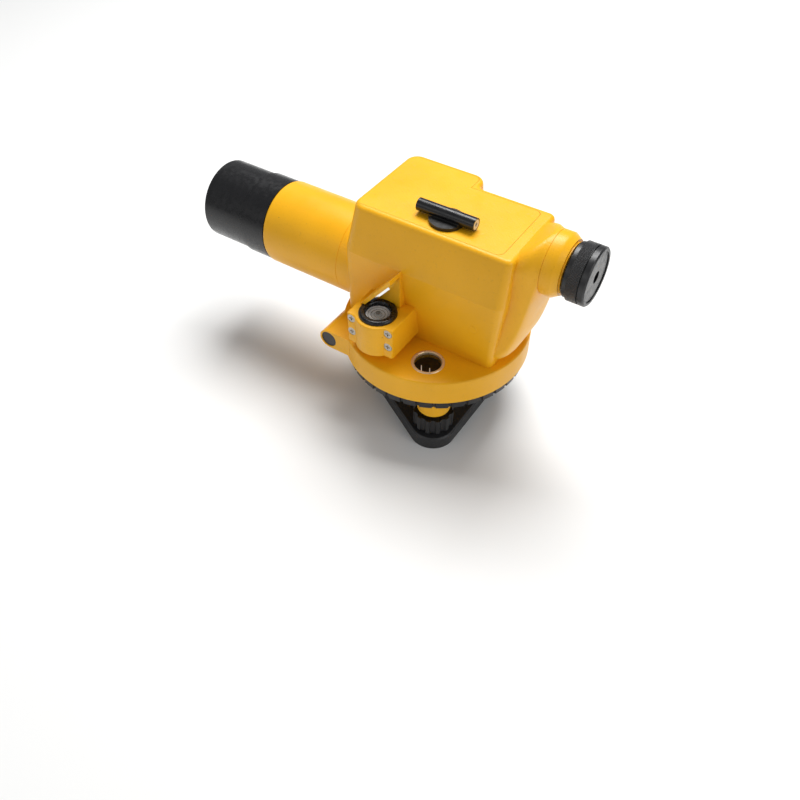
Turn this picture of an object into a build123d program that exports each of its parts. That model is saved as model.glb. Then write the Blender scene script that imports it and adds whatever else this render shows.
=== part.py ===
from build123d import *
from math import atan2, cos, degrees, radians, sin, sqrt, tan
import os

# Automatic level on its levelling head, in millimetres, +Z up.
# The telescope points along -X, the eyepiece along +X, and the bull's-eye vial is on the -Y side.
# The origin is the centre of the tripod thread on the underside of the base plate.

# Driving sizes of the levelling head
plate_thickness = 9.0
plate_corner_radius = 15.0
plate_boss_radius = 14.0
plate_boss_height = 3.0
plate_edge_chamfer = 1.0
thread_radius = 7.94
foot_circle_radius = 44.0
foot_angles = (180.0, 60.0, 300.0)
ball_radius = 3.8
ball_height = 5.4
socket_clearance = 0.3
neck_radius = 2.2
neck_length = 11.0
spindle_radius = 4.0
spring_thickness = 1.2
spring_arm_width = 13.0
spring_eye_radius = 8.5
spring_screw_circle_radius = 25.0
spring_gap = 1.8
foot_knob_radius = 13.0
foot_knob_height = 11.0
foot_knob_flutes = 12
flute_radius = 2.6
lift_gap = 2.4
arm_height = 11.0
arm_end_radius = 10.5
arm_root_radius = 17.0
arm_cap_thickness = 1.6
foot_lift_room = 1.9
foot_bush_wall = 2.6
hub_radius = 24.0
hub_tube_radius = 14.5
axle_radius = 9.0
axle_bush_wall = 2.5
axle_flange_radius = 24.0
axle_screw_circle_radius = 20.8
axle_head_height = 0.8
washer_thickness = 0.5
nut_radius = 13.0
nut_height = 3.6

# Driving sizes of the horizontal circle and its housing
ring_gap = 1.0
ring_inset = 2.0
ring_height = 6.0
ring_rim_width = 5.0
ring_web = 2.0
ring_grooves = 36
ring_groove_radius = 1.2
circle_edge_gap = 2.5
circle_rise = 5.0
circle_thickness = 1.2
sleeve_wall = 3.5
drum_gap = 0.6
drum_radius = 60.0
drum_height = 17.0
drum_wall = 3.5
drum_roof = 4.0
drum_edge_radius = 1.2
window_x = 17.0
window_margin = 4.3
window_ring_radius = 10.3
window_ring_height = 1.9
window_opening = 8.4
window_glass_thickness = 1.2
window_ledge = 0.9
index_width = 6.0
index_length = 7.0
index_edge_gap = 2.0
index_post_length = 3.0
index_thickness = 1.2

# Driving sizes of the slow-motion screw
tangent_inset = 10.0
tangent_depth = 6.7
lug_radius = 6.7
lug_inset = 10.5
lug_flat_length = 16.0
tangent_bore_radius = 4.4
tangent_screw_radius = 2.5
tangent_bush_length = 15.0
tangent_knob_radius = 10.0
tangent_knob_length = 13.0
tangent_knob_gap = 0.3
knurl_radius = 0.5
plug_radius = 5.5
plug_length = 3.0
plug_recess = 0.5
clamp_arm_width = 9.0
clamp_collar_wall = 4.5
clamp_arm_thickness = 4.0
clamp_pad_length = 7.0
clamp_gap = 1.0
plunger_pin_length = 8.5
plunger_pin_radius = 2.2

# Driving sizes of the head casting
housing_height = 83.0
crease_height = 54.0
foot_half = 24.0
drive_box_rear = 8.0
# Each row: height, front, rear, half width, far side of the drive box, corner radii from the front
housing_sections = (
    (0.0, -54.0, 51.5, foot_half, 27.5, [6.0, 4.0, 4.0, 1.2, 1.2, 6.0]),
    (crease_height, -48.0, 58.3, 33.0, 42.0, [8.0, 5.0, 5.0, 3.0, 5.5, 8.0]),
    (housing_height, -44.0, 58.3, 27.0, 39.0, [8.0, 4.0, 4.0, 3.5, 8.0, 8.0]),
)
housing_wall = 5.0
housing_floor = 5.0
cavity_front = -38.0
cavity_rear = 46.5
cavity_corner = 3.0
top_edge_radius = 3.0
cover_thickness = 4.0
cover_front = -60.0
cover_half_width = 24.0
cover_rear = 50.5
cover_box_rear = 5.0
cover_box_y = 36.0
cover_corner = 4.0
seam_width = 0.2
gasket_thickness = 0.5
gasket_width = 3.0

# Driving sizes of the telescope
telescope_height = 27.9
telescope_radius = 27.5
telescope_bore_radius = 22.0
barrel_seam_x = -58.0
barrel_front_x = -117.2
barrel_edge_radius = 2.0
barrel_seam_depth = 0.4
hood_step_x = -136.3
hood_front_x = -168.3
hood_rear_radius = 27.0
hood_front_radius = 26.1
hood_bore_radius = 24.0
hood_rim_chamfer = 0.5
objective_radius = 21.5
objective_lip_radius = 19.5
objective_bulge = 2.0
cell_seat_depth = 10.0
cell_nose = 6.0
cell_lip = 5.0
focus_cell_x = -86.0
focus_cell_length = 18.0
focus_lens_radius = 16.0
focus_lens_thickness = 5.0
focus_lens_hollow = 1.2
rack_end_x = -5.0
rack_inner_y = 13.5
rack_width = 4.5
rack_height = 3.5
focus_knob_x = -22.0
focus_knob_height = 42.0
focus_knob_radius = 14.0
focus_knob_length = 12.0
focus_knob_gap = 0.5
focus_boss_radius = 10.0
focus_boss_y = 42.5
focus_bush_radius = 6.0
focus_shaft_radius = 3.0
focus_pinion_radius = 4.0
rack_clearance = 0.1

# Driving sizes of the pendulum compensator
mirror_x = 20.0
mirror_half_length = 14.0
mirror_half_width = 12.0
mirror_thickness = 3.0
carrier_thickness = 3.0
cheek_gap = 0.6
cheek_thickness = 2.0
strap_half_width = 4.0
hang_offset = 2.0
ribbon_length = 5.0
ribbon_thickness = 0.3
ribbon_spread = 3.0
frame_thickness = 1.4
frame_half_length = 12.0
frame_lug_height = 3.0
frame_lug_depth = 2.8
frame_lug_drop = 5.8
frame_plate_thickness = 2.0
beam_radius = 4.6
damper_rod_radius = 1.5
damper_piston_radius = 5.6
damper_piston_height = 2.0
damper_cup_radius = 8.0
damper_cup_bore = 6.6
damper_cup_height = 8.0
damper_floor = 1.2
erecting_prism_size = 10.0

# Driving sizes of the eyepiece
eyepiece_drop = 10.2
neck_face_x = 70.4
neck_face_radius = 18.4
collar_length = 10.0
collar_cylinder = 6.0
collar_end_radius = 15.9
collar_seam = 0.3
collar_lip_radius = 14.5
collar_lip_length = 0.8
eyepiece_bore_radius = 11.0
eyepiece_bore_depth = 6.4
beam_bore_radius = 5.0
reticle_start_x = 53.0
reticle_radius = 8.0
reticle_cell_length = 7.0
reticle_wall = 1.5
reticle_thickness = 1.5
eyepiece_travel = 1.2
eye_cell_wall = 2.4
eye_ring_start = 82.6
eye_ring_end = 95.8
eye_ring_radius = 16.8
eye_band_radius = 15.7
eye_band_length = 2.4
eye_groove_x = 91.5
eye_groove_width = 0.8
eye_groove_depth = 0.9
eye_ring_chamfer = 0.8
eye_recess_radius = 14.4
eye_recess_depth = 2.0
eye_cap_thickness = 1.4
eye_hole_radius = 3.5
eye_lens_edge = 2.0
eye_lens_bulge = 1.2

# Driving sizes of the bull's-eye vial and its mirror
vial_x = -14.7
vial_y = -44.6
vial_block_half = 16.2
vial_block_face_y = -54.0
vial_block_bottom = 6.0
vial_block_height = 22.0
vial_block_edge = 0.8
vial_block_corner = 1.6
vial_bulge_radius = 14.0
vial_pocket_radius = 10.9
vial_pocket_depth = 9.0
vial_radius = 7.5
vial_height = 9.6
bezel_radius = 11.65
bezel_height = 2.2
bezel_skirt = 5.0
bezel_outer_round = 1.7
bezel_inner_round = 1.2
vial_screw_pitch = 10.1
vial_screw_top = 3.4
vial_screw_spread = 12.9
screw_head_radius = 2.75
screw_head_height = 1.6
screw_radius = 1.5
screw_recess = 1.8
screw_slot_width = 0.7
screw_slot_depth = 0.5
vial_screw_end_y = -21.5
mirror_foot_x = -27.0
mirror_foot_height = 30.0
mirror_apex_x = -6.2
mirror_apex_height = 55.0
mirror_plate_thickness = 2.0
mirror_outer_y = -44.5
mirror_cheek_y = -34.2
mirror_glass_thickness = 1.5
mirror_glass_margin = 1.0
mirror_glass_start = 7.0
mirror_glass_end = 27.5

# Driving sizes of the peep sight
sight_x = 10.4
sight_y = -12.2
sight_length = 36.3
sight_radius = 3.7
sight_bore_radius = 2.9
sight_rise = 4.5
sight_foot_radius = 10.2
sight_foot_height = 2.0
sight_saddle_height = 3.4
sight_saddle_half = 4.4
sight_eyelet_length = 2.0
sight_eyelet_hole = 1.3

# Running clearances and small gaps
running_fit = 0.05
press_gap = 0.02

# Places that follow from the drum and from the head casting
cavity_radius = drum_radius - drum_wall
ring_radius = drum_radius - ring_inset
circle_radius = cavity_radius - circle_edge_gap
index_outer = cavity_radius - index_edge_gap
index_inner = index_outer - index_length
tangent_x = -(drum_radius - tangent_inset)
lug_face_y = drum_radius - lug_inset
lug_inner_x = tangent_x + lug_flat_length
window_y = -(foot_half + window_ring_radius + window_margin)
eyepiece_height = housing_height - eyepiece_drop

# Heights that follow from the stack
spring_top = plate_thickness + spring_thickness
knob_bottom = spring_top + spring_gap
knob_top = knob_bottom + foot_knob_height
arm_bottom = knob_top + lift_gap
arm_top = arm_bottom + arm_height
arm_bore_top = arm_top - arm_cap_thickness
spindle_top = arm_bore_top - foot_lift_room
ring_bottom = arm_top + ring_gap
ring_top = ring_bottom + ring_height
drum_bottom = ring_top + drum_gap
flange_top = drum_bottom + drum_height
roof_bottom = flange_top - drum_roof
tangent_z = flange_top - tangent_depth
circle_bottom = ring_top + circle_rise
circle_top = circle_bottom + circle_thickness
clamp_bottom = circle_top + clamp_gap
clamp_top = clamp_bottom + clamp_arm_thickness
hub_tube_top = clamp_top + washer_thickness
washer_top = hub_tube_top + washer_thickness
nut_bottom = arm_bottom + washer_thickness
nut_top = nut_bottom + nut_height
nut_pocket_top = nut_top + washer_thickness
foot_bush_radius = spindle_radius + running_fit + foot_bush_wall
axle_bush_radius = axle_radius + running_fit + axle_bush_wall
sleeve_bore = hub_tube_radius + running_fit
sleeve_radius = sleeve_bore + sleeve_wall
housing_top = flange_top + housing_height
cover_bottom = housing_top - cover_thickness
cavity_top = cover_bottom - gasket_thickness
cavity_bottom = flange_top + housing_floor
cavity_half = foot_half - housing_wall
telescope_z = flange_top + telescope_height
eyepiece_z = flange_top + eyepiece_height
focus_knob_z = flange_top + focus_knob_height
rack_top = focus_knob_z - focus_pinion_radius - rack_clearance
vial_top = flange_top + vial_block_bottom + vial_block_height
vial_screw_levels = (vial_top - vial_screw_top, vial_top - vial_screw_top - vial_screw_pitch)
vial_screw_points = [
    (vial_x + side * vial_screw_spread, level) for side in (-1, 1) for level in vial_screw_levels
]
# Each row of the fairing: place along X, half width, bottom and top height, corner radius
fairing_sections = (
    (50.0, 24.0, 3.0, eyepiece_height + 6.2, 10.0),
    (60.0, 23.0, 11.0, eyepiece_height + 12.7, 12.0),
    (66.5, 20.5, 31.0, eyepiece_height + 17.2, 17.0),
    (
        neck_face_x,
        neck_face_radius,
        eyepiece_height - neck_face_radius,
        eyepiece_height + neck_face_radius,
        neck_face_radius - press_gap,
    ),
)
foot_points = [
    (foot_circle_radius * cos(radians(a)), foot_circle_radius * sin(radians(a)))
    for a in foot_angles
]

os.makedirs("parts", exist_ok=True)


def save(piece, name):
    piece.label = name
    export_step(piece, f"parts/{name}.step")


def disc_stack(*steps):
    """Round plates one on another, each (bottom, top, radius, bore) about the Z axis."""
    with BuildPart() as stack:
        for bottom, top, radius, bore in steps:
            with BuildSketch(Plane.XY.offset(bottom)):
                Circle(radius)
                if bore:
                    Circle(bore, mode=Mode.SUBTRACT)
            extrude(amount=top - bottom)
    return stack.part


def bar_along_x(x_start, x_end, height, radius, bore=0.0, y=0.0):
    """Round bar or tube parallel to X at the given height."""
    with BuildPart() as bar:
        with BuildSketch(Plane.YZ.offset(x_start)):
            with Locations((y, height)):
                Circle(radius)
                if bore:
                    Circle(bore, mode=Mode.SUBTRACT)
        extrude(amount=x_end - x_start)
    return bar.part


def bar_along_y(y_start, y_end, x, height, radius, bore=0.0):
    """Round bar or tube parallel to Y at the given place."""
    with BuildPart() as bar:
        with BuildSketch(Plane.XZ.offset(-y_start)):
            with Locations((x, height)):
                Circle(radius)
                if bore:
                    Circle(bore, mode=Mode.SUBTRACT)
        extrude(amount=y_start - y_end)
    return bar.part


# Three-cornered base plate: tripod thread in the middle and a ball socket at each corner
socket_radius = ball_radius + socket_clearance
with BuildPart() as base_plate:
    with BuildSketch():
        with Locations(*foot_points):
            Circle(plate_corner_radius)
        make_hull()
    extrude(amount=plate_thickness)
    chamfer(base_plate.faces().sort_by(Axis.Z)[-1].edges(), length=plate_edge_chamfer)
    with BuildSketch(Plane.XY.offset(plate_thickness)):
        Circle(plate_boss_radius)
    extrude(amount=plate_boss_height)
    with BuildSketch():
        Circle(thread_radius)
    extrude(amount=plate_thickness + plate_boss_height, mode=Mode.SUBTRACT)
    with Locations(*[(x, y, ball_height) for x, y in foot_points]):
        Sphere(socket_radius, mode=Mode.SUBTRACT)
    with BuildSketch(Plane.XY.offset(ball_height)):
        with Locations(*foot_points):
            Circle(socket_radius)
    extrude(amount=plate_thickness - ball_height, mode=Mode.SUBTRACT)
    with BuildSketch(Plane.XY.offset(plate_thickness)):
        with PolarLocations(spring_screw_circle_radius, 3, start_angle=foot_angles[0]):
            Circle(screw_radius + press_gap)
    extrude(amount=-plate_thickness / 2, mode=Mode.SUBTRACT)
save(base_plate.part, "base_plate")

# Leaf spring that keeps the three balls down in their sockets
with BuildPart() as spring_plate:
    with BuildSketch(Plane.XY.offset(plate_thickness)):
        Circle(plate_boss_radius + spring_arm_width / 2)
        with Locations(*foot_points):
            Circle(spring_eye_radius)
        for angle in foot_angles:
            with PolarLocations(foot_circle_radius / 2, 1, start_angle=angle):
                Rectangle(foot_circle_radius, spring_arm_width)
        Circle(plate_boss_radius + socket_clearance, mode=Mode.SUBTRACT)
        with Locations(*foot_points):
            Circle(neck_radius + socket_clearance * 3, mode=Mode.SUBTRACT)
        with PolarLocations(spring_screw_circle_radius, 3, start_angle=foot_angles[0]):
            Circle(screw_radius + press_gap, mode=Mode.SUBTRACT)
    extrude(amount=spring_thickness)
save(spring_plate.part, "spring_plate")

# Three screws that hold the leaf spring to the base plate
with BuildPart() as spring_screws:
    with BuildSketch(Plane.XY.offset(spring_top)):
        with PolarLocations(spring_screw_circle_radius, 3, start_angle=foot_angles[0]):
            Circle(screw_head_radius)
    extrude(amount=screw_head_height)
    with BuildSketch(Plane.XY.offset(spring_top)):
        with PolarLocations(spring_screw_circle_radius, 3, start_angle=foot_angles[0]):
            Circle(screw_radius)
    extrude(amount=-(spring_thickness + plate_thickness / 3))
save(spring_screws.part, "spring_screws")


def foot_ball(x, y):
    """Ball end with the pin that runs up inside the spindle."""
    with BuildPart() as ball:
        with Locations((x, y, ball_height)):
            Sphere(ball_radius)
        with BuildSketch(Plane.XY.offset(ball_height)):
            with Locations((x, y)):
                Circle(neck_radius)
        extrude(amount=neck_length)
    return ball.part


def foot_spindle(x, y):
    """Screw spindle of one foot, bored from below for the pin of its ball."""
    with BuildPart() as spindle:
        with BuildSketch(Plane.XY.offset(knob_bottom)):
            with Locations((x, y)):
                Circle(spindle_radius)
        extrude(amount=spindle_top - knob_bottom)
        with BuildSketch(Plane.XY.offset(knob_bottom)):
            with Locations((x, y)):
                Circle(neck_radius + running_fit)
        extrude(amount=ball_height + neck_length + running_fit - knob_bottom, mode=Mode.SUBTRACT)
        chamfer(spindle.faces().sort_by(Axis.Z)[-1].edges(), length=running_fit * 12)
    return spindle.part


def foot_knob(x, y):
    """Fluted knob pressed on a foot spindle."""
    with BuildPart() as knob:
        with BuildSketch(Plane.XY.offset(knob_bottom)):
            with Locations((x, y)):
                Circle(foot_knob_radius)
                with PolarLocations(foot_knob_radius + flute_radius / 2, foot_knob_flutes):
                    Circle(flute_radius, mode=Mode.SUBTRACT)
                Circle(spindle_radius + press_gap, mode=Mode.SUBTRACT)
        extrude(amount=foot_knob_height)
    return knob.part


# The first ball is a piece of its own, because its spindle turns on it while the head tilts
save(foot_ball(*foot_points[0]), "foot_ball_1")
for number, (foot_x, foot_y) in enumerate(foot_points, start=1):
    spindle_piece = foot_spindle(foot_x, foot_y)
    if number > 1:
        with BuildPart() as spindle_with_ball:
            add(spindle_piece)
            add(foot_ball(foot_x, foot_y))
            with BuildSketch(Plane.XY.offset(knob_bottom)):
                with Locations((foot_x, foot_y)):
                    Circle(spindle_radius)
            extrude(amount=spindle_top - knob_bottom - spindle_radius)
        spindle_piece = spindle_with_ball.part
    save(spindle_piece, f"foot_spindle_{number}")
    save(foot_knob(foot_x, foot_y), f"foot_knob_{number}")

# Three-armed tribrach casting with the hub tube that the head and the circle turn on
with BuildPart() as tribrach_body:
    for foot_x, foot_y in foot_points:
        with BuildSketch(Plane.XY.offset(arm_bottom)):
            Circle(arm_root_radius)
            with Locations((foot_x, foot_y)):
                Circle(arm_end_radius)
            make_hull()
        extrude(amount=arm_height)
    with BuildSketch(Plane.XY.offset(arm_bottom)):
        Circle(hub_radius)
    extrude(amount=arm_height)
    with BuildSketch(Plane.XY.offset(arm_top)):
        Circle(sleeve_radius)
    extrude(amount=ring_gap - running_fit)
    with BuildSketch(Plane.XY.offset(arm_top)):
        Circle(hub_tube_radius)
    extrude(amount=hub_tube_top - arm_top)
    with BuildSketch(Plane.XY.offset(arm_bottom)):
        Circle(axle_bush_radius + press_gap)
    extrude(amount=hub_tube_top - arm_bottom, mode=Mode.SUBTRACT)
    with BuildSketch(Plane.XY.offset(arm_bottom)):
        Circle(nut_radius + ring_gap)
    extrude(amount=nut_pocket_top - arm_bottom, mode=Mode.SUBTRACT)
    with BuildSketch(Plane.XY.offset(arm_bottom)):
        with Locations(*foot_points):
            Circle(foot_bush_radius + press_gap)
    extrude(amount=arm_bore_top - arm_bottom, mode=Mode.SUBTRACT)
save(tribrach_body.part, "tribrach_body")

# Bearing pieces of the tribrach: three foot bushes, the axle bush and the thrust washer
with BuildPart() as bearing_bushes:
    with BuildSketch(Plane.XY.offset(arm_bottom)):
        with Locations(*foot_points):
            Circle(foot_bush_radius)
            Circle(spindle_radius + running_fit, mode=Mode.SUBTRACT)
    extrude(amount=spindle_top - arm_bottom)
    with BuildSketch(Plane.XY.offset(nut_pocket_top)):
        Circle(axle_bush_radius)
        Circle(axle_radius + running_fit, mode=Mode.SUBTRACT)
    extrude(amount=hub_tube_top - nut_pocket_top)
    with BuildSketch(Plane.XY.offset(hub_tube_top)):
        Circle(hub_tube_radius)
        Circle(axle_radius + running_fit * 4, mode=Mode.SUBTRACT)
    extrude(amount=washer_thickness - running_fit)
save(bearing_bushes.part, "bearing_bushes")

# Hand ring that turns the horizontal circle, with finger grooves round its rim
with BuildPart() as circle_ring:
    with BuildSketch(Plane.XY.offset(ring_bottom)):
        Circle(ring_radius)
        Circle(sleeve_bore, mode=Mode.SUBTRACT)
        with PolarLocations(ring_radius, ring_grooves):
            Circle(ring_groove_radius, mode=Mode.SUBTRACT)
    extrude(amount=ring_height)
    with BuildSketch(Plane.XY.offset(ring_bottom + ring_web)):
        Circle(ring_radius - ring_rim_width)
        Circle(sleeve_radius, mode=Mode.SUBTRACT)
    extrude(amount=ring_height - ring_web, mode=Mode.SUBTRACT)
    with BuildSketch(Plane.XY.offset(ring_top)):
        Circle(sleeve_radius)
        Circle(sleeve_bore, mode=Mode.SUBTRACT)
    extrude(amount=circle_rise)
save(circle_ring.part, "circle_ring")

# Graduated disc that lies on the sleeve of the hand ring
save(disc_stack((circle_bottom, circle_top, circle_radius, sleeve_bore)), "horizontal_circle")

# Round circle housing: roof and skirt, slow-motion lugs along Y, and the reading window
window_pocket = window_ring_height - window_ledge / 3
with BuildPart() as circle_housing:
    with BuildSketch(Plane.XY.offset(drum_bottom)):
        Circle(drum_radius)
    extrude(amount=drum_height)
    fillet(circle_housing.faces().sort_by(Axis.Z)[-1].edges(), radius=drum_edge_radius)
    with BuildSketch(Plane.XZ.offset(-lug_face_y)):
        with Locations((tangent_x, tangent_z)):
            Circle(lug_radius)
        with Locations((tangent_x, tangent_z - lug_radius)):
            Rectangle(
                lug_inner_x - tangent_x,
                lug_radius + tangent_depth,
                align=(Align.MIN, Align.MIN),
            )
    extrude(amount=lug_face_y * 2)
    with BuildSketch(Plane.XY.offset(drum_bottom)):
        Circle(cavity_radius)
    extrude(amount=drum_height - drum_roof, mode=Mode.SUBTRACT)
    with BuildSketch(Plane.XZ.offset(-lug_face_y)):
        with Locations((tangent_x, tangent_z)):
            Circle(tangent_bore_radius)
    extrude(amount=lug_face_y * 2, mode=Mode.SUBTRACT)
    with BuildSketch(Plane.XZ.offset(lug_face_y)):
        with Locations((tangent_x, tangent_z)):
            Circle(plug_radius + press_gap)
    extrude(amount=-(plug_length + plug_recess), mode=Mode.SUBTRACT)
    with BuildSketch(Plane.XY.offset(flange_top)):
        with Locations((window_x, window_y)):
            Circle(window_ring_radius + press_gap)
    extrude(amount=-window_pocket, mode=Mode.SUBTRACT)
    with BuildSketch(Plane.XY.offset(flange_top)):
        with Locations((window_x, window_y)):
            Circle(window_opening + window_ledge)
    extrude(amount=-(window_pocket + window_glass_thickness), mode=Mode.SUBTRACT)
    with BuildSketch(Plane.XY.offset(flange_top)):
        with Locations((window_x, window_y)):
            Circle(window_opening)
    extrude(amount=-drum_roof, mode=Mode.SUBTRACT)
    with BuildSketch(Plane.XY.offset(roof_bottom)):
        with PolarLocations(axle_screw_circle_radius, 3):
            Circle(screw_radius + press_gap)
    extrude(amount=drum_roof * 0.75, mode=Mode.SUBTRACT)
save(circle_housing.part, "circle_housing")

# Ring and glass of the reading window
with BuildPart() as window_ring:
    with BuildSketch(Plane.XY.offset(flange_top - window_pocket)):
        with Locations((window_x, window_y)):
            Circle(window_ring_radius)
            Circle(window_opening, mode=Mode.SUBTRACT)
    extrude(amount=window_ring_height)
    top_rim = window_ring.faces().sort_by(Axis.Z)[-1].edges()
    chamfer(top_rim, length=window_ledge / 2)
save(window_ring.part, "window_ring")

with BuildPart() as window_glass:
    with BuildSketch(Plane.XY.offset(flange_top - window_pocket - window_glass_thickness)):
        with Locations((window_x, window_y)):
            Circle(window_opening + window_ledge - press_gap)
    extrude(amount=window_glass_thickness)
save(window_glass.part, "window_glass")

# Index tongue on a post under the roof, at the outer edge of the window
index_bottom = circle_top + clamp_gap / 2
window_angle = degrees(atan2(window_y, window_x))
with BuildPart() as circle_index:
    with BuildSketch(Plane.XY.offset(index_bottom)):
        with PolarLocations((index_inner + index_outer) / 2, 1, start_angle=window_angle):
            Rectangle(index_outer - index_inner, index_width)
    extrude(amount=index_thickness)
    with BuildSketch(Plane.XY.offset(index_bottom)):
        with PolarLocations(index_outer - index_post_length / 2, 1, start_angle=window_angle):
            Rectangle(index_post_length, index_width)
    extrude(amount=roof_bottom - index_bottom)
save(circle_index.part, "circle_index")

# Vertical axle of the head, with a flange that carries the circle housing
with BuildPart() as vertical_axle:
    with BuildSketch(Plane.XY.offset(nut_bottom)):
        Circle(axle_radius)
    extrude(amount=washer_top - nut_bottom)
    with BuildSketch(Plane.XY.offset(washer_top)):
        Circle(axle_flange_radius)
    extrude(amount=roof_bottom - washer_top)
    with BuildSketch(Plane.XY.offset(washer_top)):
        with PolarLocations(axle_screw_circle_radius, 3):
            Circle(screw_head_radius + press_gap)
    extrude(amount=axle_head_height + press_gap, mode=Mode.SUBTRACT)
    with BuildSketch(Plane.XY.offset(washer_top)):
        with PolarLocations(axle_screw_circle_radius, 3):
            Circle(screw_radius + press_gap)
    extrude(amount=roof_bottom - washer_top, mode=Mode.SUBTRACT)
save(vertical_axle.part, "vertical_axle")

# Three flat screws that go up through the flange into the roof
with BuildPart() as axle_screws:
    with BuildSketch(Plane.XY.offset(washer_top + press_gap)):
        with PolarLocations(axle_screw_circle_radius, 3):
            Circle(screw_head_radius)
    extrude(amount=axle_head_height)
    with BuildSketch(Plane.XY.offset(washer_top + press_gap)):
        with PolarLocations(axle_screw_circle_radius, 3):
            Circle(screw_radius)
    extrude(amount=roof_bottom - washer_top + drum_roof / 2)
save(axle_screws.part, "axle_screws")

# Nut that holds the axle up against the bottom of its bush
save(disc_stack((nut_bottom, nut_top, nut_radius, axle_radius + press_gap)), "axle_nut")

# Clamp ring round the hub tube, with the arm that the slow-motion screw pushes on
with BuildPart() as clamp_arm:
    with BuildSketch(Plane.XY.offset(clamp_bottom)):
        Circle(sleeve_bore + clamp_collar_wall)
        with Locations((tangent_x - clamp_pad_length / 2, 0)):
            Rectangle(-tangent_x, clamp_arm_width, align=(Align.MIN, Align.CENTER))
        Circle(sleeve_bore, mode=Mode.SUBTRACT)
    extrude(amount=clamp_arm_thickness)
    with BuildSketch(Plane.XY.offset(clamp_top)):
        with Locations((tangent_x, 0)):
            Rectangle(clamp_pad_length, clamp_arm_width)
    extrude(amount=tangent_z + tangent_screw_radius - clamp_top)
save(clamp_arm.part, "clamp_arm")

# Bush, spring plunger and closing plug of the slow-motion screw
tangent_bush_start = lug_face_y - tangent_bush_length
save(
    bar_along_y(
        tangent_bush_start,
        lug_face_y,
        tangent_x,
        tangent_z,
        tangent_bore_radius - press_gap,
        tangent_screw_radius + running_fit,
    ),
    "tangent_bush",
)

plug_inner_y = -(lug_face_y - plug_recess - plug_length)
plunger_end_y = -(clamp_arm_width / 2 + plunger_pin_length)
with BuildPart() as spring_plunger:
    add(
        bar_along_y(
            plug_inner_y,
            plunger_end_y,
            tangent_x,
            tangent_z,
            tangent_bore_radius - press_gap,
        )
    )
    add(bar_along_y(plunger_end_y, -clamp_arm_width / 2, tangent_x, tangent_z, plunger_pin_radius))
save(spring_plunger.part, "spring_plunger")
plug_start_y = plug_inner_y - plug_length
save(bar_along_y(plug_start_y, plug_inner_y, tangent_x, tangent_z, plug_radius), "tangent_plug")

# Slow-motion screw and its knurled knob on the far side
tangent_knob_start = lug_face_y + tangent_knob_gap
tangent_knob_end = tangent_knob_start + tangent_knob_length
tangent_screw_end = tangent_knob_end - tangent_knob_length / 4
with BuildPart() as tangent_screw:
    add(bar_along_y(clamp_arm_width / 2, tangent_screw_end, tangent_x, tangent_z, tangent_screw_radius))
save(tangent_screw.part, "tangent_screw")

with BuildPart() as tangent_knob:
    with BuildSketch(Plane.XZ.offset(-tangent_knob_end)):
        with Locations((tangent_x, tangent_z)):
            Circle(tangent_knob_radius)
            with PolarLocations(tangent_knob_radius, ring_grooves):
                Circle(knurl_radius, mode=Mode.SUBTRACT)
    extrude(amount=tangent_knob_length)
    with BuildSketch(Plane.XZ.offset(-tangent_knob_start)):
        with Locations((tangent_x, tangent_z)):
            Circle(tangent_screw_radius + press_gap)
    extrude(amount=tangent_knob_start - tangent_screw_end, mode=Mode.SUBTRACT)
save(tangent_knob.part, "tangent_knob")

# Closed form of the head casting, from which the housing and its cover are both cut
with BuildPart() as housing_form:
    for level, front, rear, half_width, box_y, corner_radii in housing_sections:
        with BuildSketch(Plane.XY.offset(flange_top + level)):
            with BuildLine():
                FilletPolyline(
                    (front, -half_width),
                    (rear, -half_width),
                    (rear, half_width),
                    (drive_box_rear, half_width),
                    (drive_box_rear, box_y),
                    (front, box_y),
                    radius=corner_radii,
                    close=True,
                )
            make_face()
    loft(ruled=True)
    fillet(housing_form.faces().sort_by(Axis.Z)[-1].edges(), radius=top_edge_radius)


def cover_outline(grow):
    """Plan of the cover seam, made larger all round by the given amount."""
    with BuildSketch(Plane.XY.offset(cover_bottom)) as outline:
        with BuildLine():
            FilletPolyline(
                (cover_front - grow, -cover_half_width - grow),
                (cover_rear + grow, -cover_half_width - grow),
                (cover_rear + grow, cover_half_width + grow),
                (cover_box_rear + grow, cover_half_width + grow),
                (cover_box_rear + grow, cover_box_y + grow),
                (cover_front - grow, cover_box_y + grow),
                radius=[0, cover_corner, cover_corner, 0, cover_corner, 0],
                close=True,
            )
        make_face()
    return outline.sketch


def cavity_outline(level, grow):
    """Plan of the open inside of the head casting at the given height."""
    with BuildSketch(Plane.XY.offset(level)) as outline:
        with Locations(((cavity_front + cavity_rear) / 2, 0)):
            RectangleRounded(
                cavity_rear - cavity_front + grow * 2,
                (cavity_half + grow) * 2,
                cavity_corner,
            )
    return outline.sketch


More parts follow.
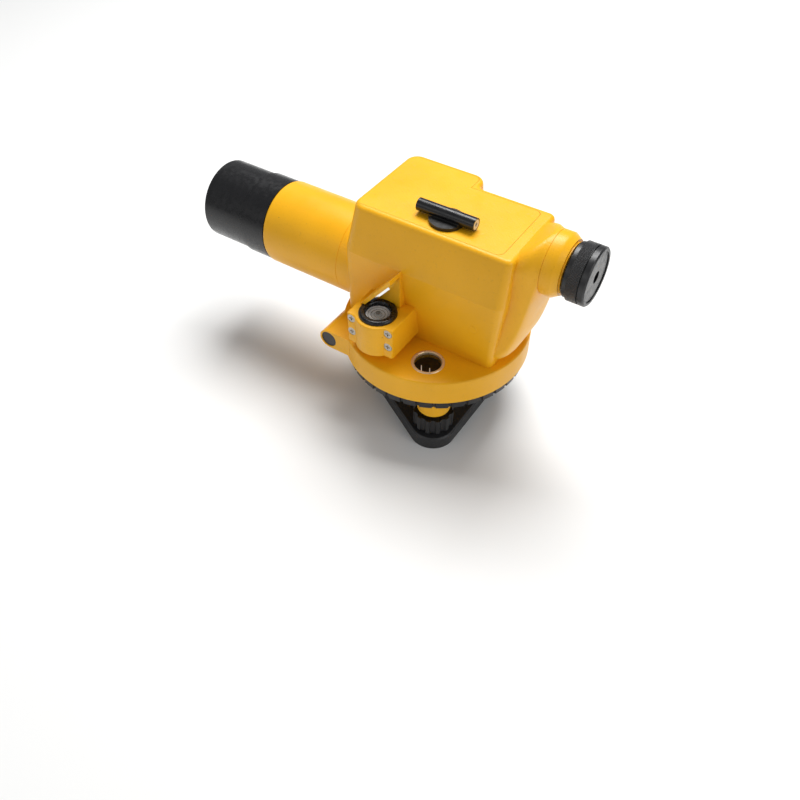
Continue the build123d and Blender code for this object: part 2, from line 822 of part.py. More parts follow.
# Head casting: inner room, telescope spigot, eyepiece fairing and focusing boss
with BuildPart() as main_housing:
    add(housing_form.part)
    for section_x, half_width, low, high, corner in fairing_sections:
        with BuildSketch(Plane.YZ.offset(section_x)):
            with Locations((0, flange_top + (low + high) / 2)):
                RectangleRounded(half_width * 2, high - low, corner)
    loft()
    with BuildSketch(Plane.YZ.offset(barrel_seam_x)):
        with Locations((0, telescope_z)):
            Circle(telescope_radius)
    extrude(amount=cavity_front - barrel_seam_x)
    with BuildSketch(Plane.XZ.offset(-focus_boss_y)):
        with Locations((focus_knob_x, focus_knob_z)):
            Circle(focus_boss_radius)
    extrude(amount=focus_boss_y - cavity_half)
    extrude(
        to_extrude=cavity_outline(cavity_bottom, 0),
        amount=cavity_top - cavity_bottom,
        mode=Mode.SUBTRACT,
    )
    extrude(
        to_extrude=cavity_outline(cavity_top, gasket_width),
        amount=gasket_thickness,
        mode=Mode.SUBTRACT,
    )
    extrude(to_extrude=cover_outline(seam_width), amount=cover_thickness * 3, mode=Mode.SUBTRACT)
    with BuildSketch(Plane.YZ.offset(barrel_seam_x)):
        with Locations((0, telescope_z)):
            Circle(telescope_bore_radius)
    extrude(amount=cavity_front - barrel_seam_x + cavity_corner, mode=Mode.SUBTRACT)
    with BuildSketch(Plane.YZ.offset(cavity_rear - cavity_corner)):
        with Locations((0, eyepiece_z)):
            Circle(beam_bore_radius)
    extrude(amount=neck_face_x - cavity_rear, mode=Mode.SUBTRACT)
    with BuildSketch(Plane.YZ.offset(reticle_start_x)):
        with Locations((0, eyepiece_z)):
            Circle(reticle_radius + press_gap)
    extrude(amount=neck_face_x - reticle_start_x, mode=Mode.SUBTRACT)
    with BuildSketch(Plane.YZ.offset(neck_face_x - eyepiece_bore_depth)):
        with Locations((0, eyepiece_z)):
            Circle(eyepiece_bore_radius)
    extrude(amount=eyepiece_bore_depth, mode=Mode.SUBTRACT)
    with BuildSketch(Plane.XZ.offset(-focus_boss_y)):
        with Locations((focus_knob_x, focus_knob_z)):
            Circle(focus_bush_radius + press_gap)
    extrude(amount=focus_boss_y - cavity_half + cavity_corner, mode=Mode.SUBTRACT)
    with BuildSketch(Plane.XZ.offset(-vial_block_face_y)):
        with Locations(*vial_screw_points):
            Circle(screw_radius + press_gap)
    extrude(amount=vial_block_face_y - vial_screw_end_y, mode=Mode.SUBTRACT)
save(main_housing.part, "main_housing")

# Gasket under the cover, in its recess round the open top of the casting
with BuildPart() as cover_gasket:
    extrude(to_extrude=cavity_outline(cavity_top, gasket_width - press_gap), amount=gasket_thickness)
    extrude(to_extrude=cavity_outline(cavity_top, 0), amount=gasket_thickness, mode=Mode.SUBTRACT)
save(cover_gasket.part, "cover_gasket")

# Cover plate, cut from the same closed form so that its edges run on into the casting
with BuildPart() as top_cover:
    add(housing_form.part)
    extrude(to_extrude=cover_outline(0), amount=cover_thickness * 3, mode=Mode.INTERSECT)
save(top_cover.part, "top_cover")

# Peep sight: a round foot with a saddle, the sighting tube and its eyelet
sight_z = housing_top + sight_rise
sight_start_x = sight_x - sight_length / 2
with BuildPart() as sight_foot:
    with BuildSketch(Plane.XY.offset(housing_top)):
        with Locations((sight_x, sight_y)):
            Circle(sight_foot_radius)
    extrude(amount=sight_foot_height)
    with BuildSketch(Plane.XY.offset(housing_top)):
        with Locations((sight_x, sight_y)):
            Circle(sight_foot_radius)
            Rectangle(sight_foot_radius * 2, sight_saddle_half * 2, mode=Mode.INTERSECT)
    extrude(amount=sight_saddle_height)
    with BuildSketch(Plane.YZ.offset(sight_start_x)):
        with Locations((sight_y, sight_z)):
            Circle(sight_radius)
    extrude(amount=sight_length, mode=Mode.SUBTRACT)
save(sight_foot.part, "sight_foot")
save(
    bar_along_x(
        sight_start_x,
        sight_start_x + sight_length,
        sight_z,
        sight_radius,
        sight_bore_radius,
        sight_y,
    ),
    "sight_tube",
)
save(
    bar_along_x(
        sight_start_x + sight_length - sight_eyelet_length,
        sight_start_x + sight_length,
        sight_z,
        sight_bore_radius - press_gap,
        sight_eyelet_hole,
        sight_y,
    ),
    "sight_eyelet",
)

# Telescope barrel with the seat of the objective cell in its front end
with BuildPart() as telescope_barrel:
    add(bar_along_x(barrel_front_x, barrel_seam_x, telescope_z, telescope_radius))
    chamfer(telescope_barrel.faces().sort_by(Axis.X)[-1].edges(), length=barrel_seam_depth)
    fillet(telescope_barrel.faces().sort_by(Axis.X)[0].edges(), radius=barrel_edge_radius)
    with BuildSketch(Plane.YZ.offset(barrel_front_x)):
        with Locations((0, telescope_z)):
            Circle(hood_bore_radius)
    extrude(amount=cell_seat_depth, mode=Mode.SUBTRACT)
    with BuildSketch(Plane.YZ.offset(barrel_front_x)):
        with Locations((0, telescope_z)):
            Circle(telescope_bore_radius)
    extrude(amount=barrel_seam_x - barrel_front_x, mode=Mode.SUBTRACT)
save(telescope_barrel.part, "telescope_barrel")

# Lens hood in two bands with a bevelled step between them
with BuildPart() as lens_hood:
    add(bar_along_x(hood_step_x, barrel_front_x, telescope_z, hood_rear_radius))
    chamfer(lens_hood.faces().sort_by(Axis.X)[0].edges(), length=hood_rear_radius - hood_front_radius)
    with BuildSketch(Plane.YZ.offset(hood_front_x)):
        with Locations((0, telescope_z)):
            Circle(hood_front_radius)
    extrude(amount=hood_step_x - hood_front_x)
    with BuildSketch(Plane.YZ.offset(hood_front_x)):
        with Locations((0, telescope_z)):
            Circle(hood_bore_radius)
    extrude(amount=barrel_front_x - hood_front_x, mode=Mode.SUBTRACT)
    chamfer(lens_hood.faces().sort_by(Axis.X)[0].edges(), length=hood_rim_chamfer)
save(lens_hood.part, "lens_hood")

# Objective cell, which screws into the barrel and carries the hood on its outside
cell_front_x = barrel_front_x - cell_nose
cell_rear_x = barrel_front_x + cell_seat_depth
with BuildPart() as objective_cell:
    with BuildSketch(Plane.YZ.offset(cell_front_x)):
        with Locations((0, telescope_z)):
            Circle(hood_bore_radius - press_gap)
            Circle(objective_lip_radius, mode=Mode.SUBTRACT)
    extrude(amount=cell_rear_x - cell_front_x)
    with BuildSketch(Plane.YZ.offset(cell_front_x + cell_lip)):
        with Locations((0, telescope_z)):
            Circle(objective_radius + press_gap)
    extrude(amount=cell_rear_x - cell_front_x - cell_lip * 2, mode=Mode.SUBTRACT)
save(objective_cell.part, "objective_cell")


def lens(start_x, end_x, radius, bulge, height):
    """Round lens with equal faces; a positive bulge swells outward, a negative one is hollow."""
    curve = (radius**2 + bulge**2) / (2 * abs(bulge))
    middle_sag = curve - sqrt(curve**2 - (radius / 2) ** 2)
    middle_bulge = bulge - middle_sag * bulge / abs(bulge)
    with BuildPart() as blank:
        with BuildSketch(Plane.XZ):
            with BuildLine():
                ThreePointArc(
                    (start_x - bulge, height),
                    (start_x - middle_bulge, height + radius / 2),
                    (start_x, height + radius),
                )
                Line((start_x, height + radius), (end_x, height + radius))
                ThreePointArc(
                    (end_x, height + radius),
                    (end_x + middle_bulge, height + radius / 2),
                    (end_x + bulge, height),
                )
                Line((end_x + bulge, height), (start_x - bulge, height))
            make_face()
        revolve(axis=Axis((0, 0, height), (1, 0, 0)))
    return blank.part


objective_end_x = cell_rear_x - cell_lip
objective_start_x = cell_front_x + cell_lip
objective_face_radius = objective_lip_radius - socket_clearance
with BuildPart() as objective_lens:
    add(lens(objective_start_x, objective_end_x, objective_face_radius, objective_bulge, telescope_z))
    add(bar_along_x(objective_start_x, objective_end_x, telescope_z, objective_radius))
save(objective_lens.part, "objective_lens")

# Focusing lens in its sliding cell, with the rack that its pinion drives
focus_cell_start = focus_cell_x - focus_cell_length / 2
with BuildPart() as focusing_cell:
    with BuildSketch(Plane.YZ.offset(focus_cell_start)):
        with Locations((0, telescope_z)):
            Circle(telescope_bore_radius - running_fit)
    extrude(amount=focus_cell_length)
    with BuildSketch(Plane.YZ.offset(focus_cell_x)):
        with Locations((rack_inner_y + rack_width / 2, rack_top - rack_height / 2)):
            Rectangle(rack_width, rack_height)
    extrude(amount=rack_end_x - focus_cell_x)
    with BuildSketch(Plane.YZ.offset(focus_cell_start)):
        with Locations((0, telescope_z)):
            Circle(focus_lens_radius)
    extrude(amount=focus_cell_length, mode=Mode.SUBTRACT)
save(focusing_cell.part, "focusing_cell")
save(
    lens(
        focus_cell_x - focus_lens_thickness / 2,
        focus_cell_x + focus_lens_thickness / 2,
        focus_lens_radius - press_gap,
        -focus_lens_hollow,
        telescope_z,
    ),
    "focusing_lens",
)

# Bush, shaft with pinion, and knob of the focusing drive on the far side
save(
    bar_along_y(
        cavity_half,
        focus_boss_y,
        focus_knob_x,
        focus_knob_z,
        focus_bush_radius,
        focus_shaft_radius + running_fit,
    ),
    "focus_bush",
)

focus_knob_start = focus_boss_y + focus_knob_gap
focus_knob_end = focus_knob_start + focus_knob_length
focus_shaft_end = focus_knob_end - focus_knob_length / 4
pinion_start = rack_inner_y - rack_clearance
pinion_end = rack_inner_y + rack_width + rack_clearance
with BuildPart() as focus_shaft:
    add(bar_along_y(pinion_start, pinion_end, focus_knob_x, focus_knob_z, focus_pinion_radius))
    add(bar_along_y(pinion_end, focus_shaft_end, focus_knob_x, focus_knob_z, focus_shaft_radius))
save(focus_shaft.part, "focus_shaft")

with BuildPart() as focus_knob:
    with BuildSketch(Plane.XZ.offset(-focus_knob_end)):
        with Locations((focus_knob_x, focus_knob_z)):
            Circle(focus_knob_radius)
            with PolarLocations(focus_knob_radius, ring_grooves):
                Circle(knurl_radius, mode=Mode.SUBTRACT)
    extrude(amount=focus_knob_length)
    with BuildSketch(Plane.XZ.offset(-focus_knob_start)):
        with Locations((focus_knob_x, focus_knob_z)):
            Circle(focus_shaft_radius + press_gap)
    extrude(amount=focus_knob_start - focus_shaft_end, mode=Mode.SUBTRACT)
save(focus_knob.part, "focus_knob")

# Fixed frame of the compensator: two side plates and the bridge that carries the prism
frame_inner_y = cavity_half - frame_thickness
prism_bottom = eyepiece_z - erecting_prism_size / 2
frame_top = prism_bottom - frame_plate_thickness
ribbon_top = frame_top - frame_lug_drop
strap_z = ribbon_top - ribbon_length
hang_x = mirror_x + hang_offset
with BuildPart() as compensator_frame:
    for side in (-1, 1):
        with BuildSketch(Plane.XY.offset(cavity_bottom)):
            with Locations((mirror_x, side * (cavity_half - frame_thickness / 2))):
                Rectangle(frame_half_length * 2, frame_thickness)
        extrude(amount=frame_top - cavity_bottom)
        with BuildSketch(Plane.XY.offset(ribbon_top)):
            with Locations((hang_x, side * (frame_inner_y - frame_lug_depth / 2))):
                Rectangle(strap_half_width * 2, frame_lug_depth)
        extrude(amount=frame_lug_height)
    with BuildSketch(Plane.XY.offset(frame_top)):
        with Locations((mirror_x, 0)):
            Rectangle(frame_half_length * 2, cavity_half * 2)
            Circle(beam_radius, mode=Mode.SUBTRACT)
    extrude(amount=frame_plate_thickness)
save(compensator_frame.part, "compensator_frame")

# Erecting prism that turns the beam back to the eyepiece
with BuildPart() as erecting_prism:
    with BuildSketch(Plane.XZ.offset(-erecting_prism_size / 2)):
        with BuildLine():
            Polyline(
                (mirror_x - erecting_prism_size / 2, prism_bottom),
                (mirror_x + erecting_prism_size / 2, prism_bottom),
                (mirror_x + erecting_prism_size / 2, prism_bottom + erecting_prism_size),
                close=True,
            )
        make_face()
    extrude(amount=erecting_prism_size)
save(erecting_prism.part, "erecting_prism")

# Pendulum mirror at forty-five degrees, its carrier and the two cheeks that hang it
cheek_outer_y = frame_inner_y - cheek_gap
cheek_inner_y = cheek_outer_y - cheek_thickness


def along_mirror(along, behind):
    """Point in the XZ plane, measured along the mirror and behind its face."""
    lean = sqrt(0.5)
    return (mirror_x + (along + behind) * lean, telescope_z + (along - behind) * lean)


def mirror_slab(near, far, half_width):
    """Flat slab parallel to the mirror between two depths behind its face."""
    with BuildPart() as slab:
        with BuildSketch(Plane.XZ.offset(-half_width)):
            with BuildLine():
                Polyline(
                    along_mirror(-mirror_half_length, near),
                    along_mirror(-mirror_half_length, far),
                    along_mirror(mirror_half_length, far),
                    along_mirror(mirror_half_length, near),
                    close=True,
                )
            make_face()
        extrude(amount=half_width * 2)
    return slab.part


carrier_back = mirror_thickness + carrier_thickness
cheek_height = strap_z - telescope_z
piston_bottom = cavity_bottom + damper_floor + damper_piston_height
save(mirror_slab(0, mirror_thickness, mirror_half_width), "pendulum_mirror")
with BuildPart() as pendulum:
    add(mirror_slab(mirror_thickness, carrier_back, cheek_outer_y))
    for side_y in (-cheek_inner_y, cheek_outer_y):
        with BuildSketch(Plane.XZ.offset(-side_y)):
            with BuildLine():
                Polyline(
                    along_mirror(-mirror_half_length, 0),
                    along_mirror(-mirror_half_length, carrier_back),
                    along_mirror(mirror_half_length, carrier_back),
                    along_mirror(mirror_half_length, 0),
                    (hang_x + strap_half_width, strap_z - cheek_height * 0.37),
                    (hang_x + strap_half_width, strap_z),
                    (hang_x - strap_half_width, strap_z),
                    (hang_x - strap_half_width, strap_z - cheek_height * 0.74),
                    close=True,
                )
            make_face()
        extrude(amount=cheek_thickness)
    with BuildSketch(Plane.XY.offset(piston_bottom)):
        with Locations((mirror_x, 0)):
            Circle(damper_piston_radius)
    extrude(amount=damper_piston_height)
    with BuildSketch(Plane.XY.offset(piston_bottom)):
        with Locations((mirror_x, 0)):
            Circle(damper_rod_radius)
    extrude(amount=along_mirror(-carrier_back, carrier_back)[1] + damper_rod_radius * 1.5 - piston_bottom)
save(pendulum.part, "pendulum")

# Four thin ribbons that the pendulum hangs on
ribbon_y = (cheek_inner_y + cheek_outer_y) / 2
with BuildPart() as suspension_ribbons:
    with BuildSketch(Plane.XY.offset(strap_z)):
        with Locations((hang_x, ribbon_y), (hang_x, -ribbon_y)):
            with Locations((-ribbon_spread, 0), (ribbon_spread, 0)):
                Rectangle(ribbon_thickness, cheek_thickness)
    extrude(amount=ribbon_length)
save(suspension_ribbons.part, "suspension_ribbons")

# Air damper cup under the pendulum
with BuildPart() as damper_cup:
    with BuildSketch(Plane.XY.offset(cavity_bottom)):
        with Locations((mirror_x, 0)):
            Circle(damper_cup_radius)
    extrude(amount=damper_cup_height)
    with BuildSketch(Plane.XY.offset(cavity_bottom + damper_floor)):
        with Locations((mirror_x, 0)):
            Circle(damper_cup_bore)
    extrude(amount=damper_cup_height - damper_floor, mode=Mode.SUBTRACT)
save(damper_cup.part, "damper_cup")

# Reticle glass in its cell
reticle_middle = reticle_start_x + reticle_cell_length / 2
with BuildPart() as reticle:
    add(
        bar_along_x(
            reticle_start_x,
            reticle_start_x + reticle_cell_length,
            eyepiece_z,
            reticle_radius,
            reticle_radius - reticle_wall,
        )
    )
    add(
        bar_along_x(
            reticle_middle,
            reticle_middle + reticle_thickness,
            eyepiece_z,
            reticle_radius - reticle_wall,
        )
    )
save(reticle.part, "reticle")

# Eyepiece collar: short cylinder, cone and a lip at its end
collar_end_x = neck_face_x + collar_length
collar_cone_x = neck_face_x + collar_cylinder
with BuildPart() as eyepiece_collar:
    add(bar_along_x(neck_face_x, collar_cone_x, eyepiece_z, neck_face_radius))
    chamfer(eyepiece_collar.faces().sort_by(Axis.X)[0].edges(), length=collar_seam)
    for section_x, section_radius in ((collar_cone_x, neck_face_radius), (collar_end_x, collar_end_radius)):
        with BuildSketch(Plane.YZ.offset(section_x)):
            with Locations((0, eyepiece_z)):
                Circle(section_radius)
    loft()
    with BuildSketch(Plane.YZ.offset(collar_end_x)):
        with Locations((0, eyepiece_z)):
            Circle(collar_lip_radius)
    extrude(amount=collar_lip_length)
    with BuildSketch(Plane.YZ.offset(neck_face_x)):
        with Locations((0, eyepiece_z)):
            Circle(eyepiece_bore_radius)
    extrude(amount=collar_length + collar_lip_length, mode=Mode.SUBTRACT)
save(eyepiece_collar.part, "eyepiece_collar")

# Sliding eyepiece tube with its three lenses
eye_cell_start = neck_face_x - eyepiece_bore_depth + eyepiece_travel + running_fit * 4
eye_cap_start = eye_ring_end - eye_recess_depth
eye_cell_end = eye_cap_start - running_fit * 4
eye_cell_radius = eyepiece_bore_radius - running_fit
eye_cell_bore = eye_cell_radius - eye_cell_wall
save(bar_along_x(eye_cell_start, eye_cell_end, eyepiece_z, eye_cell_radius, eye_cell_bore), "eyepiece_cell")
with BuildPart() as eyepiece_lenses:
    for share in (0.12, 0.42, 0.8):
        lens_x = eye_cell_start + (eye_cell_end - eye_cell_start) * share
        add(lens(lens_x, lens_x + eye_lens_edge, eye_cell_bore - press_gap, eye_lens_bulge, eyepiece_z))
save(eyepiece_lenses.part, "eyepiece_lenses")

# Dioptre ring: smooth band, knurled band, groove and rear band
with BuildPart() as eyepiece_ring:
    with BuildSketch(Plane.YZ.offset(eye_ring_start)):
        with Locations((0, eyepiece_z)):
            Circle(eye_ring_radius)
    extrude(amount=eye_groove_x - eye_ring_start)
    with BuildSketch(Plane.YZ.offset(eye_ring_start)):
        with Locations((0, eyepiece_z)):
            Circle(eye_ring_radius + knurl_radius)
            Circle(eye_band_radius, mode=Mode.SUBTRACT)
    extrude(amount=eye_band_length, mode=Mode.SUBTRACT)
    with BuildSketch(Plane.YZ.offset(eye_groove_x)):
        with Locations((0, eyepiece_z)):
            Circle(eye_ring_radius - eye_groove_depth)
    extrude(amount=eye_groove_width)
    add(bar_along_x(eye_groove_x + eye_groove_width, eye_ring_end, eyepiece_z, eye_ring_radius))
    chamfer(eyepiece_ring.faces().sort_by(Axis.X)[-1].edges(), length=eye_ring_chamfer)
    with BuildSketch(Plane.YZ.offset(eye_ring_end)):
        with Locations((0, eyepiece_z)):
            Circle(eye_recess_radius)
    extrude(amount=-eye_recess_depth, mode=Mode.SUBTRACT)
    with BuildSketch(Plane.YZ.offset(eye_ring_start)):
        with Locations((0, eyepiece_z)):
            Circle(eyepiece_bore_radius)
    extrude(amount=eye_ring_end - eye_ring_start, mode=Mode.SUBTRACT)
save(eyepiece_ring.part, "eyepiece_ring")
save(
    bar_along_x(
        eye_cap_start,
        eye_cap_start + eye_cap_thickness,
        eyepiece_z,
        eye_recess_radius - press_gap,
        eye_hole_radius,
    ),
    "eye_cap",
)

# Vial bracket, fitted to the sloping side of the casting
vial_bottom = vial_top - vial_pocket_depth
with BuildPart() as vial_bracket:
    with BuildSketch(Plane.XY.offset(flange_top + vial_block_bottom)):
        with Locations((vial_x, vial_block_face_y)):
            Rectangle(
                vial_block_half * 2,
                -vial_block_face_y - cavity_half,
                align=(Align.CENTER, Align.MIN),
            )
        with Locations((vial_x, vial_y)):
            Circle(vial_bulge_radius)
    extrude(amount=vial_block_height)
    ear_edges = vial_bracket.edges().filter_by(Axis.Z).group_by(Axis.Y)[0].sort_by(Axis.X)
    fillet([ear_edges[0], ear_edges[-1]], radius=vial_block_corner)
    for rim in (vial_bracket.faces().sort_by(Axis.Z)[-1], vial_bracket.faces().sort_by(Axis.Z)[0]):
        fillet(rim.edges(), radius=vial_block_edge)
    add(housing_form.part, mode=Mode.SUBTRACT)
    with BuildSketch(Plane.XY.offset(vial_top)):
        with Locations((vial_x, vial_y)):
            Circle(vial_pocket_radius)
    extrude(amount=-vial_pocket_depth, mode=Mode.SUBTRACT)
    with BuildSketch(Plane.XZ.offset(-vial_block_face_y)):
        with Locations(*vial_screw_points):
            Circle(screw_head_radius + running_fit * 2)
    extrude(amount=-screw_recess, mode=Mode.SUBTRACT)
    with BuildSketch(Plane.XZ.offset(-vial_block_face_y)):
        with Locations(*vial_screw_points):
            Circle(screw_radius + press_gap)
    extrude(amount=vial_block_face_y - vial_screw_end_y, mode=Mode.SUBTRACT)
save(vial_bracket.part, "vial_bracket")

# Four long screws that hold the bracket, with cross slots in their heads
screw_face_y = vial_block_face_y + screw_recess - screw_head_height
with BuildPart() as vial_screws:
    with BuildSketch(Plane.XZ.offset(-screw_face_y)):
        with Locations(*vial_screw_points):
            Circle(screw_head_radius)
    extrude(amount=-screw_head_height)
    with BuildSketch(Plane.XZ.offset(-screw_face_y)):
        with Locations(*vial_screw_points):
            Circle(screw_radius)
    extrude(amount=screw_face_y - vial_screw_end_y)
    with BuildSketch(Plane.XZ.offset(-screw_face_y)):
        with Locations(*vial_screw_points):
            Rectangle(screw_radius * 2, screw_slot_width)
            Rectangle(screw_slot_width, screw_radius * 2)
    extrude(amount=-screw_slot_depth, mode=Mode.SUBTRACT)
save(vial_screws.part, "vial_screws")

# Bull's-eye vial and the bezel that holds it
with BuildPart() as circular_vial:
    with BuildSketch(Plane.XY.offset(vial_bottom)):
        with Locations((vial_x, vial_y)):
            Circle(vial_radius)
    extrude(amount=vial_height)
save(circular_vial.part, "circular_vial")

with BuildPart() as vial_bezel:
    with BuildSketch(Plane.XY.offset(vial_top)):
        with Locations((vial_x, vial_y)):
            Circle(bezel_radius)
    extrude(amount=bezel_height)
    fillet(vial_bezel.faces().sort_by(Axis.Z)[-1].edges(), radius=bezel_outer_round)
    with BuildSketch(Plane.XY.offset(vial_top)):
        with Locations((vial_x, vial_y)):
            Circle(vial_pocket_radius - press_gap)
    extrude(amount=-bezel_skirt)
    with BuildSketch(Plane.XY.offset(vial_top - bezel_skirt)):
        with Locations((vial_x, vial_y)):
            Circle(vial_radius + press_gap)
    extrude(amount=bezel_skirt + bezel_height, mode=Mode.SUBTRACT)
    top_rim = vial_bezel.faces().sort_by(Axis.Z)[-1].edges().sort_by(SortBy.RADIUS)[0]
    fillet(top_rim, radius=bezel_inner_round)
save(vial_bezel.part, "vial_bezel")

# Sloping hood over the vial: a cheek against the casting and a plate that carries the mirror
mirror_foot_z = flange_top + mirror_foot_height
mirror_apex_z = flange_top + mirror_apex_height
hood_slope = atan2(mirror_apex_z - mirror_foot_z, mirror_apex_x - mirror_foot_x)
slope_drop = mirror_plate_thickness / cos(hood_slope)
plate_foot_x = mirror_apex_x - (mirror_apex_z - slope_drop - vial_top) / tan(hood_slope)
with BuildPart() as mirror_hood:
    with BuildSketch(Plane.XZ.offset(-mirror_outer_y)):
        with BuildLine():
            Polyline(
                (mirror_foot_x, vial_top),
                (plate_foot_x, vial_top),
                (mirror_apex_x, mirror_apex_z - slope_drop),
                (mirror_apex_x, mirror_apex_z),
                (mirror_foot_x, mirror_foot_z),
                close=True,
            )
        make_face()
    extrude(amount=mirror_outer_y + cavity_half)
    with BuildSketch(Plane.XZ.offset(-mirror_cheek_y)):
        with BuildLine():
            Polyline(
                (mirror_foot_x, vial_top),
                (mirror_apex_x, vial_top),
                (mirror_apex_x, mirror_apex_z),
                (mirror_foot_x, mirror_foot_z),
                close=True,
            )
        make_face()
    extrude(amount=mirror_cheek_y + cavity_half)
    add(housing_form.part, mode=Mode.SUBTRACT)
    with BuildSketch(Plane.XY.offset(vial_top)):
        with Locations((vial_x, vial_y)):
            Circle(bezel_radius + running_fit * 3)
    extrude(amount=bezel_height + running_fit * 3, mode=Mode.SUBTRACT)
save(mirror_hood.part, "mirror_hood")


def under_plate(along, below):
    """Point in the XZ plane, along the slope and below the underside of the mirror plate."""
    depth = mirror_plate_thickness + below
    return (
        mirror_foot_x + along * cos(hood_slope) + depth * sin(hood_slope),
        mirror_foot_z + along * sin(hood_slope) - depth * cos(hood_slope),
    )


# Small mirror under the sloping plate
with BuildPart() as vial_mirror:
    with BuildSketch(Plane.XZ.offset(-mirror_outer_y - mirror_glass_margin)):
        with BuildLine():
            Polyline(
                under_plate(mirror_glass_start, 0),
                under_plate(mirror_glass_start, mirror_glass_thickness),
                under_plate(mirror_glass_end, mirror_glass_thickness),
                under_plate(mirror_glass_end, 0),
                close=True,
            )
        make_face()
    extrude(amount=mirror_outer_y - mirror_cheek_y + mirror_glass_margin * 2)
save(vial_mirror.part, "vial_mirror")
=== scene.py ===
import bmesh
import bpy
from math import atan2, pi, radians
from mathutils import Euler, Matrix, Vector


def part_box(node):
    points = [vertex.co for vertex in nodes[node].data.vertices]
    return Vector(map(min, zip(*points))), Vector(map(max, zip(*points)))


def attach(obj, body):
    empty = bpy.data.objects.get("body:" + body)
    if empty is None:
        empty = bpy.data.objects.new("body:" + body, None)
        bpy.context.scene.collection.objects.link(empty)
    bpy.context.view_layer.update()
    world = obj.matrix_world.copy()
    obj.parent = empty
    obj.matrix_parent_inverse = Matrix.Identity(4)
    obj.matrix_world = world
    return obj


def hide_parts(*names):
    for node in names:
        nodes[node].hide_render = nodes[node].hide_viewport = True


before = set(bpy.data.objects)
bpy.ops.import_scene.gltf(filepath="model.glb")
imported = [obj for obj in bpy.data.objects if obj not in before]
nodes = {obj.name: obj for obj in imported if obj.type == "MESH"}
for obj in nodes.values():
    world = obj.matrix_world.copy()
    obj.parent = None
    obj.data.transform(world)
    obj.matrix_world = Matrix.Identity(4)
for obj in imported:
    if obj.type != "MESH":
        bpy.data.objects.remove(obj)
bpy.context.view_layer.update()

# Camera: it stands where the photograph was taken from, 40 cm above the table and a little to the
# right of the vial, and looks down on the instrument at 47 degrees.
camera_place = (0.191304, -0.334196, 0.397195)
camera_turn = Euler((radians(90.0 - 47.179), 0.0, radians(33.353)))
camera_roll = radians(-0.094)
camera_data = bpy.data.cameras.new("camera")
camera = bpy.data.objects.new("camera", camera_data)
bpy.context.scene.collection.objects.link(camera)
camera_data.sensor_width = 36.0
camera_data.lens = 35.775
camera_data.clip_start = 0.01
camera_data.clip_end = 20.0
look = camera_turn.to_matrix() @ Matrix.Rotation(camera_roll, 3, "Z")
camera.matrix_world = Matrix.Translation(camera_place) @ look.to_4x4()
bpy.context.scene.camera = camera
bpy.context.scene.view_settings.view_transform = "Standard"

# Studio: a white room with three soft boxes round a plain pale table. Only the camera sees the room
# as white; the light and the reflections that the instrument gets from it are dimmer.
world = bpy.data.worlds.new("studio")
bpy.context.scene.world = world
world.use_nodes = True
room = world.node_tree
room.nodes.clear()


def room_light(colour, strength):
    light = room.nodes.new("ShaderNodeBackground")
    light.inputs["Color"].default_value = (*colour, 1.0)
    light.inputs["Strength"].default_value = strength
    return light.outputs[0]


seen = room.nodes.new("ShaderNodeLightPath")
which = room.nodes.new("ShaderNodeMixShader")
room_out = room.nodes.new("ShaderNodeOutputWorld")
room.links.new(seen.outputs["Is Camera Ray"], which.inputs["Fac"])
room.links.new(room_light((0.97, 0.98, 1.0), 0.30), which.inputs[1])
room.links.new(room_light((1.0, 1.0, 1.0), 1.0), which.inputs[2])
room.links.new(which.outputs[0], room_out.inputs["Surface"])


def softbox(name, place, aim, width, height, watts):
    data = bpy.data.lights.new(name, "AREA")
    data.shape = "RECTANGLE"
    data.size = width
    data.size_y = height
    data.energy = watts
    lamp = bpy.data.objects.new(name, data)
    bpy.context.scene.collection.objects.link(lamp)
    lamp.location = place
    lamp.rotation_mode = "QUATERNION"
    lamp.rotation_quaternion = (Vector(aim) - Vector(place)).to_track_quat("-Z", "Y")


softbox("softbox_top", (-0.15, 0.55, 1.30), (0.0, 0.0, 0.08), 0.9, 0.7, 23.0)
softbox("softbox_side", (1.20, -0.10, 0.75), (0.05, 0.0, 0.08), 0.7, 0.7, 3.5)
softbox("softbox_front", (-0.35, -1.20, 0.70), (0.0, 0.0, 0.06), 0.9, 0.6, 1.6)

table_half_width = 2.5
floor_mesh = bmesh.new()
bmesh.ops.create_grid(floor_mesh, x_segments=1, y_segments=1, size=table_half_width)
table_data = bpy.data.meshes.new("table_top")
floor_mesh.to_mesh(table_data)
floor_mesh.free()
table_top = bpy.data.objects.new("table_top", table_data)
bpy.context.scene.collection.objects.link(table_top)
table_look = bpy.data.materials.new("pale_table")
table_look.use_nodes = True
table_shader = table_look.node_tree.nodes["Principled BSDF"]
table_shader.inputs["Base Color"].default_value = (0.86, 0.86, 0.85, 1.0)
table_shader.inputs["Roughness"].default_value = 0.7
table_data.materials.append(table_look)


